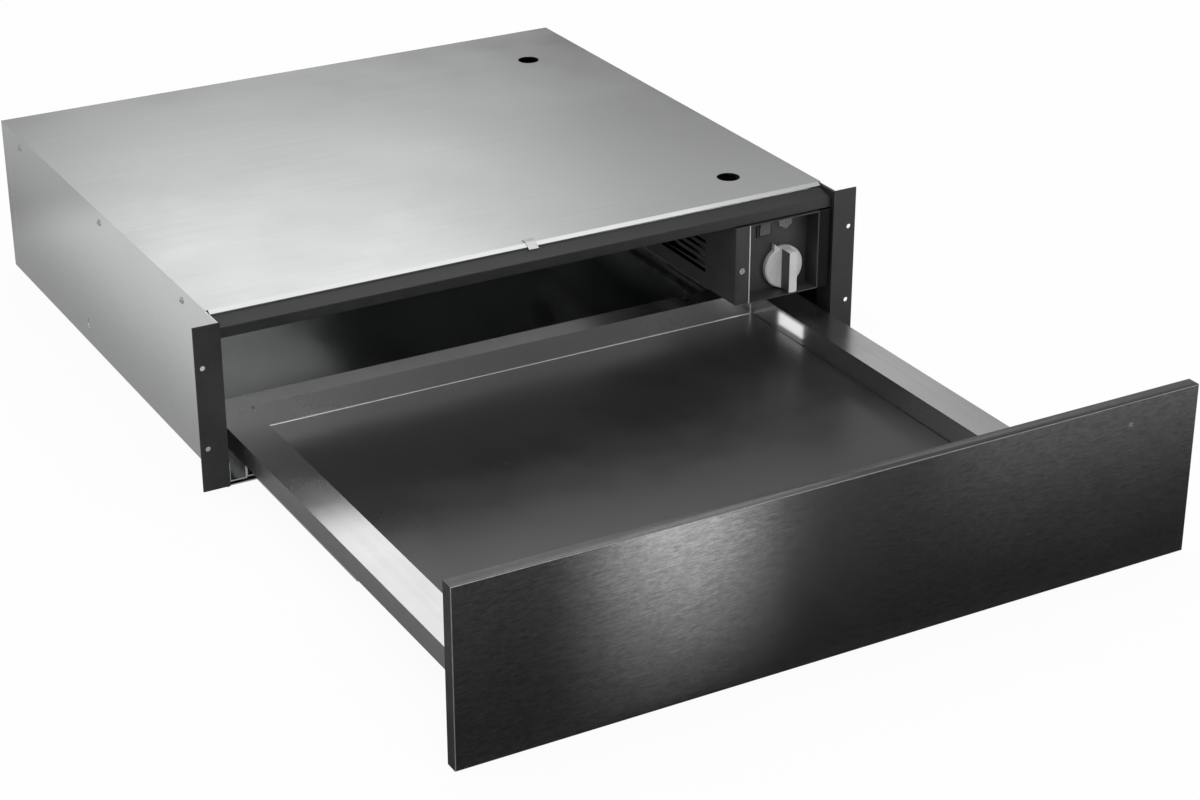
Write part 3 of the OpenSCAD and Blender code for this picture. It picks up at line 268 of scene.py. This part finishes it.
def sheet_metal(name, low, high, rough, wave):
    """Zinc-coated sheet: satin, faintly clouded, with the slow waves of thin sheet."""
    look = Look(name, metallic=1.0)
    cloud = look.noise(9.0, 4.0, 0.55)
    grain = look.noise(700.0, 2.0, 0.5)
    streak = look.noise(1.0, 3.0, 0.6, stretch=(5.0, 260.0, 260.0))
    mixed = look.combine(look.combine(cloud, grain), streak, "ADD")
    look.colour(look.spread(mixed, 0.0, 1.0, 0.4, 1.1), low, high, (0.99, 1.0, 1.005))
    look.roughness(cloud, rough - 0.03, rough + 0.05)
    slow = look.bump(look.noise(5.0, 1.0, 0.4), 1.0, wave)
    look.bump(grain, 0.12, 0.00002, slow)
    return look.material


def powder_coat(name, level, rough, gloss=0.5):
    """Satin dark paint with a fine orange peel and lighter specks."""
    look = Look(name, roughness=rough)
    look.shader.inputs["Specular IOR Level"].default_value = gloss
    peel = look.noise(900.0, 3.0, 0.6)
    dust = look.noise(60.0, 4.0, 0.6)
    look.colour(look.spread(dust, 0.0, 1.0), level * 0.86, level * 1.16, (0.98, 1.0, 1.02))
    look.roughness(dust, rough - 0.05, rough + 0.06)
    look.bump(peel, 0.35, 0.00006)
    return look.material


def polished_steel(name, level, rough, stretch):
    """Polished stainless sheet with a faint directional grain."""
    look = Look(name, metallic=1.0)
    line = look.noise(1.0, 3.0, 0.6, stretch=stretch)
    smear = look.noise(14.0, 4.0, 0.6)
    look.colour(look.spread(line, 0.0, 1.0), level * 0.96, level * 1.03, (1.0, 1.0, 0.995))
    look.roughness(smear, rough - 0.02, rough + 0.05)
    slow = look.bump(look.noise(7.0, 1.0, 0.4), 1.0, 0.0001)
    look.bump(line, 0.06, 0.00001, slow)
    return look.material


def dark_steel(name, low, high, rough):
    """Dark coated stainless, brushed from side to side, with a fine mottled grain."""
    look = Look(name, metallic=1.0)
    mottle = look.noise(1.0, 3.0, 0.6, stretch=(210.0, 380.0, 460.0), distortion=0.7)
    brush = look.noise(1.0, 2.0, 0.5, stretch=(70.0, 1100.0, 1300.0))
    cloud = look.noise(22.0, 3.0, 0.5)
    both = look.combine(mottle, brush, "ADD")
    look.colour(look.spread(both, 0.0, 1.0, 0.7, 1.3), low, high, (1.0, 1.0, 1.01))
    look.roughness(cloud, rough - 0.02, rough + 0.03)
    grain = look.bump(mottle, 0.35, 0.00004)
    look.bump(brush, 0.15, 0.00001, grain)
    look.brushed_along_x(0.9)
    return look.material


def rubber(name, level, rough, gloss=0.5):
    """Smooth dark rubber with a fine moulded grain."""
    look = Look(name, roughness=rough)
    look.shader.inputs["Specular IOR Level"].default_value = gloss
    pores = look.noise(1500.0, 2.0, 0.6)
    cloud = look.noise(18.0, 4.0, 0.6)
    look.colour(look.spread(cloud, 0.0, 1.0), level * 0.88, level * 1.14)
    look.roughness(cloud, rough - 0.03, rough + 0.04)
    look.bump(pores, 0.3, 0.00005)
    return look.material


def moulded(name, level, rough, tint=(1.0, 1.0, 1.0), metallic=0.0):
    """Injection-moulded plastic with a light spark-eroded grain."""
    look = Look(name, metallic=metallic, roughness=rough)
    grain = look.noise(2200.0, 2.0, 0.5)
    flow = look.noise(70.0, 3.0, 0.6)
    look.colour(look.spread(flow, 0.0, 1.0), level * 0.94, level * 1.05, tint)
    look.roughness(flow, rough - 0.04, rough + 0.05)
    look.bump(grain, 0.2, 0.00003)
    return look.material


def turned_metal(name, level, rough, tint=(1.0, 1.0, 1.0)):
    """Small metal piece: turned, pressed or plated, with a fine grain."""
    look = Look(name, metallic=1.0)
    grain = look.noise(2500.0, 3.0, 0.6)
    stain = look.noise(120.0, 4.0, 0.6)
    look.colour(look.spread(stain, 0.0, 1.0), level * 0.9, level * 1.05, tint)
    look.roughness(stain, rough - 0.04, rough + 0.06)
    look.bump(grain, 0.25, 0.00002)
    return look.material


def clear_plastic(name):
    """Clear light guide, a little frosted."""
    look = Look(name, roughness=0.12, colour=0.85)
    flow = look.noise(300.0, 2.0, 0.5)
    look.colour(look.spread(flow, 0.0, 1.0), 0.8, 0.9)
    look.roughness(flow, 0.08, 0.2)
    look.shader.inputs["Transmission Weight"].default_value = 0.85
    look.shader.inputs["IOR"].default_value = 1.49
    return look.material


# The material of each slot in the record.
LOOKS = {
    "galvanised": sheet_metal("zinc_sheet", 0.705, 0.75, 0.17, 0.00025),
    "frame_paint": powder_coat("frame_powder_coat", 0.033, 0.42, 0.4),
    "compartment_paint": powder_coat("compartment_powder_coat", 0.05, 0.4),
    "polished_pan": polished_steel("polished_pan_steel", 0.77, 0.24, (260.0, 6.0, 260.0)),
    "slide_steel": turned_metal("slide_zinc", 0.66, 0.22),
    "cage_brass": turned_metal("cage_strip", 0.5, 0.3, (1.0, 0.86, 0.5)),
    "ball_steel": turned_metal("ball_steel", 0.8, 0.08),
    "mat_rubber": rubber("mat_rubber", 0.026, 0.3, 1.0),
    "dark_steel": dark_steel("dark_brushed_steel", 0.034, 0.062, 0.25),
    "edge_black": powder_coat("edge_black", 0.006, 0.34, 0.12),
    "clear_window": clear_plastic("clear_light_guide"),
    "knob_silver": moulded("silver_coated_plastic", 0.88, 0.36),
    "shaft_steel": turned_metal("shaft_steel", 0.62, 0.24),
    "control_cream": moulded("cream_plastic", 0.6, 0.5, (1.0, 0.95, 0.82)),
    "switch_black": moulded("black_plastic", 0.02, 0.4),
    "rocker_grey": moulded("rocker_plastic", 0.15, 0.35),
    "motor_paint": powder_coat("motor_paint", 0.22, 0.45),
    "wheel_aluminium": turned_metal("wheel_aluminium", 0.6, 0.34),
    "element_steel": turned_metal("element_steel", 0.32, 0.42, (1.0, 0.92, 0.84)),
    "gland_black": moulded("gland_plastic", 0.025, 0.5),
    "buffer_rubber": rubber("buffer_rubber", 0.025, 0.6),
    "screw_zinc": turned_metal("screw_zinc", 0.68, 0.26),
}

# Second finishes, which single faces of a piece have.
HEM_STEEL = turned_metal("hem_steel", 0.3, 0.4)
# Painted shade: a darker steel for the pan's long inner corners.
CORNER_PAINTED_SHADE = turned_metal("corner_painted_shade", 0.16, 0.5)
BARE_EDGE = turned_metal("bare_edge", 0.42, 0.35)
# Painted highlight: a near-white finish for the front edge of the tray's left wall.
TRAY_EDGE_HIGHLIGHT = moulded("tray_edge_painted_highlight", 0.75, 0.4, metallic=0.2)
# Painted light: a lighter copy of the dark steel for the top of the front's core.
PANEL_TOP_PAINTED_LIGHT = dark_steel("panel_top_painted_light", 0.17, 0.22, 0.36)
# Painted shade: a dark plastic for the side walls of the knob's raised bar.
BAR_WALL_PAINTED_SHADE = moulded("bar_wall_painted_shade", 0.09, 0.45)
# Painted light: a lighter copy of the compartment paint for the wall's side towards the loading
# space.
PAINTED_LIGHT_WALL = powder_coat("compartment_painted_light_wall", 0.1, 0.4)

# Where those faces lie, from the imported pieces, and the sizes that tell them apart.
PAN_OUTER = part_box("drawer_pan")[1][0]
PAN_HEM = 1.5 * MM
PAN_RIM = 20 * MM
KNOB_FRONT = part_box("knob")[0][1]
GRIP_HEIGHT = 12 * MM
TRAY_LEFT, TRAY_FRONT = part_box("control_recess")[0][:2]
TRAY_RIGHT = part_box("control_recess")[1][0]
TRAY_SHEET = 1.0 * MM
TRAY_FLANGE = 11.7 * MM


def hem_and_corners(normal, middle):
    """The pan's outer hems are duller, and its long inner corners are painted darker as painted
    shade.
    """
    out = abs(middle.x)
    if abs(normal.x) > 0.9 and out > PAN_OUTER - PAN_HEM:
        return HEM_STEEL
    if 0.12 < abs(normal.x) < 0.99 and normal.z > 0.12 and out < PAN_OUTER - PAN_RIM:
        return CORNER_PAINTED_SHADE
    return None


def skin_edges(normal, middle):
    """The chamfer around the front skin is bare metal."""
    slanted = max(abs(normal.x), abs(normal.z)) > 0.3 and abs(normal.y) > 0.3
    return BARE_EDGE if slanted else None


def core_top(normal, middle):
    """The top of the front's core is painted lighter than its black sides, as painted light on
    the face that looks up.
    """
    return PANEL_TOP_PAINTED_LIGHT if normal.z > 0.99 else None


def tray_front(normal, middle):
    """The front edge of the tray's left wall is bare metal made near-white as a painted
    highlight, and its right flange is painted black as painted shade.
    """
    if normal.y > -0.9 or middle.y > TRAY_FRONT + TRAY_SHEET:
        return None
    if middle.x < TRAY_LEFT + TRAY_SHEET:
        return TRAY_EDGE_HIGHLIGHT
    # Painted shade: the right flange takes the black edge finish.
    return LOOKS["edge_black"] if middle.x > TRAY_RIGHT - TRAY_FLANGE else None


def painted_light_on_wall(normal, middle):
    """The compartment's left wall is painted a lighter grey on its side towards the loading
    space, as painted light.
    """
    return PAINTED_LIGHT_WALL if normal.x < -0.9 else None


def painted_bar_shade(normal, middle):
    """The walls of the raised bar are painted dark as painted shade, and its face is silver."""
    on_bar = KNOB_FRONT < middle.y < KNOB_FRONT + GRIP_HEIGHT
    return BAR_WALL_PAINTED_SHADE if abs(normal.x) > 0.8 and on_bar else None


def dress_nodes():
    """Gives every CAD node the procedural material of its record slot."""
    for part in record["subparts"]:
        mesh = nodes[part["node"]].data
        mesh.materials.clear()
        mesh.materials.append(LOOKS[part["material_slot"]])
        for face in mesh.polygons:
            face.material_index = 0


def slot_of(node):
    for part in record["subparts"]:
        if part["node"] == node:
            return part["material_slot"]
    raise KeyError(node)


def body_of(node):
    for body, members in record["behaviour"]["bodies"].items():
        if node in members:
            return body
    raise KeyError(node)


def everything(mesh):
    return list(mesh.verts) + list(mesh.edges) + list(mesh.faces)


def weld(mesh):
    bmesh.ops.remove_doubles(mesh, verts=mesh.verts, dist=0.002 * MM)


def cut_across(mesh, at, **settings):
    """Cuts the mesh along the upright plane at that x."""
    bmesh.ops.bisect_plane(mesh, geom=everything(mesh), plane_co=(at, 0.0, 0.0),
                           plane_no=(1.0, 0.0, 0.0), **settings)


def mirror_left_half(mesh):
    """Rebuilds the right half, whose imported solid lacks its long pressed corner."""
    cut_across(mesh, 0.0, clear_outer=True)
    copied = bmesh.ops.duplicate(mesh, geom=everything(mesh))["geom"]
    for vert in (part for part in copied if isinstance(part, bmesh.types.BMVert)):
        vert.co.x = -vert.co.x
    bmesh.ops.reverse_faces(mesh, faces=[part for part in copied
                                         if isinstance(part, bmesh.types.BMFace)])
    weld(mesh)


# Width of the rounding in millimetres, for each piece that is shown with rounded edges.
ROUNDED_EDGES = {
    "front_skin": 0.1,
    "top_cover": 0.5,
    "side_panel_left": 0.4,
    "side_panel_right": 0.4,
    "rear_panel": 0.4,
    "top_rail": 0.5,
    "flange_left": 0.4,
    "flange_right": 0.4,
    "compartment_wall": 0.25,
    "control_recess": 0.3,
    "drawer_pan": 0.3,
    "mat": 0.2,
    "front_core": 0.5,
    "knob": 0.5,
    "rocker": 0.3,
    "switch_body": 0.2,
    "rail_clip": 0.2,
}

SECOND_FINISH = {
    "drawer_pan": hem_and_corners,
    "front_skin": skin_edges,
    "front_core": core_top,
    "knob": painted_bar_shade,
    "control_recess": tray_front,
    "compartment_wall": painted_light_on_wall,
}

REPAIRS = {
    "drawer_pan": mirror_left_half,
}

# Upright cuts, at these x, that part a flat face in two finishes.
FACE_CUTS = {
    "control_recess": (TRAY_LEFT + TRAY_SHEET, TRAY_RIGHT - TRAY_FLANGE),
}

# The finish of the rounding: a slot's number, or that of the faces beside it.
FINISH_OF_FACES = -1
ROUNDING_FINISH = {
    "front_core": 0,
}

FLAT_WITHIN = 1.0
SHARP_FROM = 30.0


def cleaned(node):
    """The CAD node's mesh, welded, with each flat face in one piece and then cut."""
    mesh = bmesh.new()
    mesh.from_mesh(nodes[node].data)
    weld(mesh)
    if node in REPAIRS:
        REPAIRS[node](mesh)
    bmesh.ops.dissolve_limit(mesh, angle_limit=math.radians(FLAT_WITHIN), verts=mesh.verts,
                             edges=mesh.edges, delimit={"NORMAL"})
    for at in FACE_CUTS.get(node, ()):
        cut_across(mesh, at)
    mesh.normal_update()
    return mesh


def finish_faces(mesh, node):
    """Gives each face its finish, and returns the materials in the order of their slots."""
    looks = [LOOKS[slot_of(node)]]
    finish = SECOND_FINISH.get(node)
    if finish is None:
        return looks
    for face in mesh.faces:
        second = finish(face.normal, face.calc_center_median())
        if second and second not in looks:
            looks.append(second)
        face.material_index = looks.index(second) if second else 0
    return looks


def round_edges(piece, width, finish):
    bevel = piece.modifiers.new("edge", "BEVEL")
    bevel.width = width * MM
    bevel.segments = 2
    bevel.limit_method = "ANGLE"
    bevel.angle_limit = math.radians(SHARP_FROM)
    bevel.use_clamp_overlap = True
    bevel.harden_normals = True
    bevel.material = finish
    bevel.miter_outer = "MITER_ARC"
    weighted = piece.modifiers.new("normals", "WEIGHTED_NORMAL")
    weighted.keep_sharp = False
    weighted.weight = 80


def rounded(node, width):
    """A copy of a CAD node with its sharp edges rounded, shown in the node's place."""
    mesh = cleaned(node)
    looks = finish_faces(mesh, node)
    data = bpy.data.meshes.new(node + "_rounded")
    mesh.to_mesh(data)
    mesh.free()
    for face in data.polygons:
        face.use_smooth = True
    for look in looks:
        data.materials.append(look)
    piece = bpy.data.objects.new(node + "_rounded", data)
    scene.collection.objects.link(piece)
    round_edges(piece, width, ROUNDING_FINISH.get(node, FINISH_OF_FACES))
    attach(piece, body_of(node))
    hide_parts(node)


def window_level(graph, turn, rise):
    """Radiance of the mirrored window by its ray's turn and rise."""
    low, high = (math.sin(math.radians(angle)) for angle in WINDOW_SILL)
    sill = graph.spread(rise, 0.0, 1.0, low, high, smooth=True)
    left = graph.turned(turn, WINDOW_LEFT_LEVEL, 1.0, WINDOW_LEFT)
    right = graph.turned(turn, 1.0, WINDOW_RIGHT_LEVEL, WINDOW_RIGHT)
    end = graph.turned(turn, 1.0, WINDOW_END_LEVEL, WINDOW_END)
    share = graph.combine(graph.combine(sill, left), graph.combine(right, end))
    return graph.spread(share, WALL_LEVEL, WINDOW_LEVEL, 0.0, 1.0)


def studio_world():
    """White to the camera and even to matt surfaces; metal mirrors a soft pale window."""
    world = bpy.data.worlds.new("studio")
    scene.world = world
    world.use_nodes = True
    graph = Graph(world.node_tree)
    way = graph.axes(graph.add("ShaderNodeTexCoord").outputs["Generated"])
    turn = graph.combine(way["X"], way["Y"], "ARCTAN2")
    window = window_level(graph, turn, way["Z"])
    middle = math.radians(WINDOW_MIDDLE)
    away = graph.absolute(graph.combine(turn, middle, "SUBTRACT"))
    outside = graph.turned(away, 0.0, 1.0, WINDOW_WALL)
    mirrored = graph.mix(outside, graph.light("ShaderNodeBackground", window),
                         graph.light("ShaderNodeBackground", STUDIO_LEVEL))
    shader = graph.by_ray(graph.light("ShaderNodeBackground", DIFFUSE_LEVEL), mirrored,
                          graph.light("ShaderNodeBackground", 1.0))
    graph.feed(shader, graph.tree.nodes["World Output"].inputs["Surface"])


def streak_gain(graph, place):
    """1 on the floor, and more along a painted light strip that grows brighter away from the
    front.
    """
    turn = math.radians(STREAK_TURN)
    across = graph.combine(graph.combine(place["X"], math.cos(turn)),
                           graph.combine(place["Y"], math.sin(turn)), "ADD")
    middle = STREAK_FOOT[0] * math.cos(turn) + STREAK_FOOT[1] * math.sin(turn)
    offset = graph.combine(across, middle, "SUBTRACT")
    strip = graph.spread(graph.absolute(offset), STREAK_GAIN, 0.0, *STREAK_HALF_WIDTH,
                         smooth=True)
    farther = graph.spread(place["Y"], 1.0, STREAK_START, *STREAK_REACH)
    glow = graph.spread(offset, 0.0, GLOW_GAIN, *GLOW_SPAN, smooth=True)
    far_only = graph.spread(place["Y"], 1.0, 0.0, *GLOW_REACH)
    both = graph.combine(graph.combine(strip, farther), graph.combine(glow, far_only), "ADD")
    return graph.combine(both, 1.0, "ADD")


def mirrored_floor(graph):
    """What metal mirrors of the floor, ahead of the front and beside the carcass, with a
    painted shadow near the carcass and a painted light streak ahead.
    """
    place = graph.axes(graph.add("ShaderNodeTexCoord").outputs["Object"])
    # Painted shadow: the mirrored floor darkens towards the front's foot and along the carcass.
    ahead = graph.spread(place["Y"], FLOOR_FAR_LEVEL, FLOOR_NEAR_LEVEL,
                         FLOOR_FAR, FLOOR_NEAR, smooth=True)
    ahead = graph.combine(ahead, streak_gain(graph, place))
    sides = graph.spread(graph.absolute(place["X"]), *FLOOR_SIDE_LEVELS, *FLOOR_SIDE,
                         smooth=True)
    back = graph.spread(place["Y"], 1.0, FLOOR_BACK_SHARE, *FLOOR_BACK, smooth=True)
    behind = graph.spread(place["Y"], 0.0, 1.0, FLOOR_NEAR, FLOOR_NEAR + FLOOR_SEAM)
    return graph.mix(behind, graph.light("ShaderNodeEmission", ahead),
                     graph.light("ShaderNodeEmission", graph.combine(sides, back)))


def floor_material():
    material = bpy.data.materials.new("floor_white")
    material.use_nodes = True
    graph = Graph(material.node_tree)
    graph.tree.nodes.remove(graph.tree.nodes["Principled BSDF"])
    plain = graph.add("ShaderNodeBsdfDiffuse")
    plain.inputs["Color"].default_value = grey(FLOOR_COLOUR)
    matt = plain.outputs["BSDF"]
    seen = graph.mix(FLOOR_WHITE_SHARE, matt, graph.light("ShaderNodeEmission", FLOOR_WHITE))
    shader = graph.by_ray(matt, mirrored_floor(graph), seen)
    graph.feed(shader, graph.tree.nodes["Material Output"].inputs["Surface"])
    return material


def studio_floor():
    """Plain pale floor, white to the camera, that keeps a faint shadow."""
    mesh = bmesh.new()
    bmesh.ops.create_grid(mesh, x_segments=2, y_segments=2, size=FLOOR_HALF_SIZE)
    data = bpy.data.meshes.new("floor")
    mesh.to_mesh(data)
    mesh.free()
    data.materials.append(floor_material())
    floor = bpy.data.objects.new("floor", data)
    floor.location = (0.0, 0.0, FLOOR_Z)
    scene.collection.objects.link(floor)


def soft_lamp(name, place, target, width, height, radiance, mirrors_only=False):
    """Rectangular lamp whose face shows the given radiance to what mirrors it."""
    data = bpy.data.lights.new(name, "AREA")
    data.shape = "RECTANGLE"
    data.size = width
    data.size_y = height
    data.energy = radiance * math.pi * width * height
    lamp = bpy.data.objects.new(name, data)
    scene.collection.objects.link(lamp)
    lamp.location = place
    aim = Vector(target) - Vector(place)
    lamp.rotation_euler = aim.to_track_quat("-Z", "Y").to_euler()
    lamp.visible_camera = False
    lamp.visible_diffuse = not mirrors_only


def around(azimuth, elevation, distance):
    """A place seen from the origin in that direction; azimuth 0 is +Y, turning to +X."""
    turn, rise = math.radians(azimuth), math.radians(elevation)
    return (distance * math.sin(turn) * math.cos(rise),
            distance * math.cos(turn) * math.cos(rise), distance * math.sin(rise))


def studio_lamps():
    """Soft light from above and ahead, and small lamps for single reflections."""
    soft_lamp("overhead", (0.25, -0.1, 2.2), (0.2, 0.0, 0.0), 2.2, 2.0, 0.7)
    soft_lamp("front_fill", (0.0, -2.3, 1.0), (0.1, 0.0, 0.05), 1.3, 1.0, 2.1)
    # From behind on the right, onto the top of the front.
    soft_lamp("top_streak", around(33.0, 47.0, 2.0), (0.0, -0.4, 0.06), 0.4, 0.4, 1.6)
    # The left rim of the pan turns bright just ahead of the rail.
    soft_lamp("rail_glow", (-0.165, -0.006, 0.057), (-0.165, -1.0, 0.057), 0.1, 0.025, 0.65,
              mirrors_only=True)
    # Under the cover, onto the pan's rear rim and the rear left of the loading space.
    soft_lamp("cover_glow", (-0.045, 0.235, 0.062), (-0.045, 0.235, -1.0), 0.44, 0.09, 0.22)
    soft_lamp("corner_glow", (-0.135, 0.45, 0.062), (-0.135, 0.45, -1.0), 0.27, 0.1, 0.11)
    # A small bright patch on the pan's right wall near the carcass.
    soft_lamp("wall_glint", (0.2262, 0.005, -0.048), (0.25, 0.005, -0.048), 0.038, 0.012, 1.0,
              mirrors_only=True)


def photo_camera():
    azimuth = math.radians(CAMERA_AZIMUTH)
    elevation = math.radians(CAMERA_ELEVATION)
    roll = math.radians(CAMERA_ROLL)
    ahead = Vector((-math.sin(azimuth) * math.cos(elevation),
                    math.cos(azimuth) * math.cos(elevation), -math.sin(elevation)))
    level = ahead.cross(Vector((0.0, 0.0, 1.0))).normalized()
    upright = level.cross(ahead)
    right = level * math.cos(roll) + upright * math.sin(roll)
    above = upright * math.cos(roll) - level * math.sin(roll)
    data = bpy.data.cameras.new("photo_camera")
    data.sensor_fit = "HORIZONTAL"
    data.sensor_width = SENSOR
    data.lens = LENS
    data.clip_start, data.clip_end = CAMERA_CLIP
    camera = bpy.data.objects.new("photo_camera", data)
    scene.collection.objects.link(camera)
    turn = Matrix((right, above, -ahead)).transposed()
    camera.matrix_world = Matrix.Translation(CAMERA_AT) @ turn.to_4x4()
    scene.camera = camera


dress_nodes()
for node, width in ROUNDED_EDGES.items():
    rounded(node, width)
studio_world()
studio_floor()
studio_lamps()
photo_camera()
scene.view_settings.view_transform = "Standard"
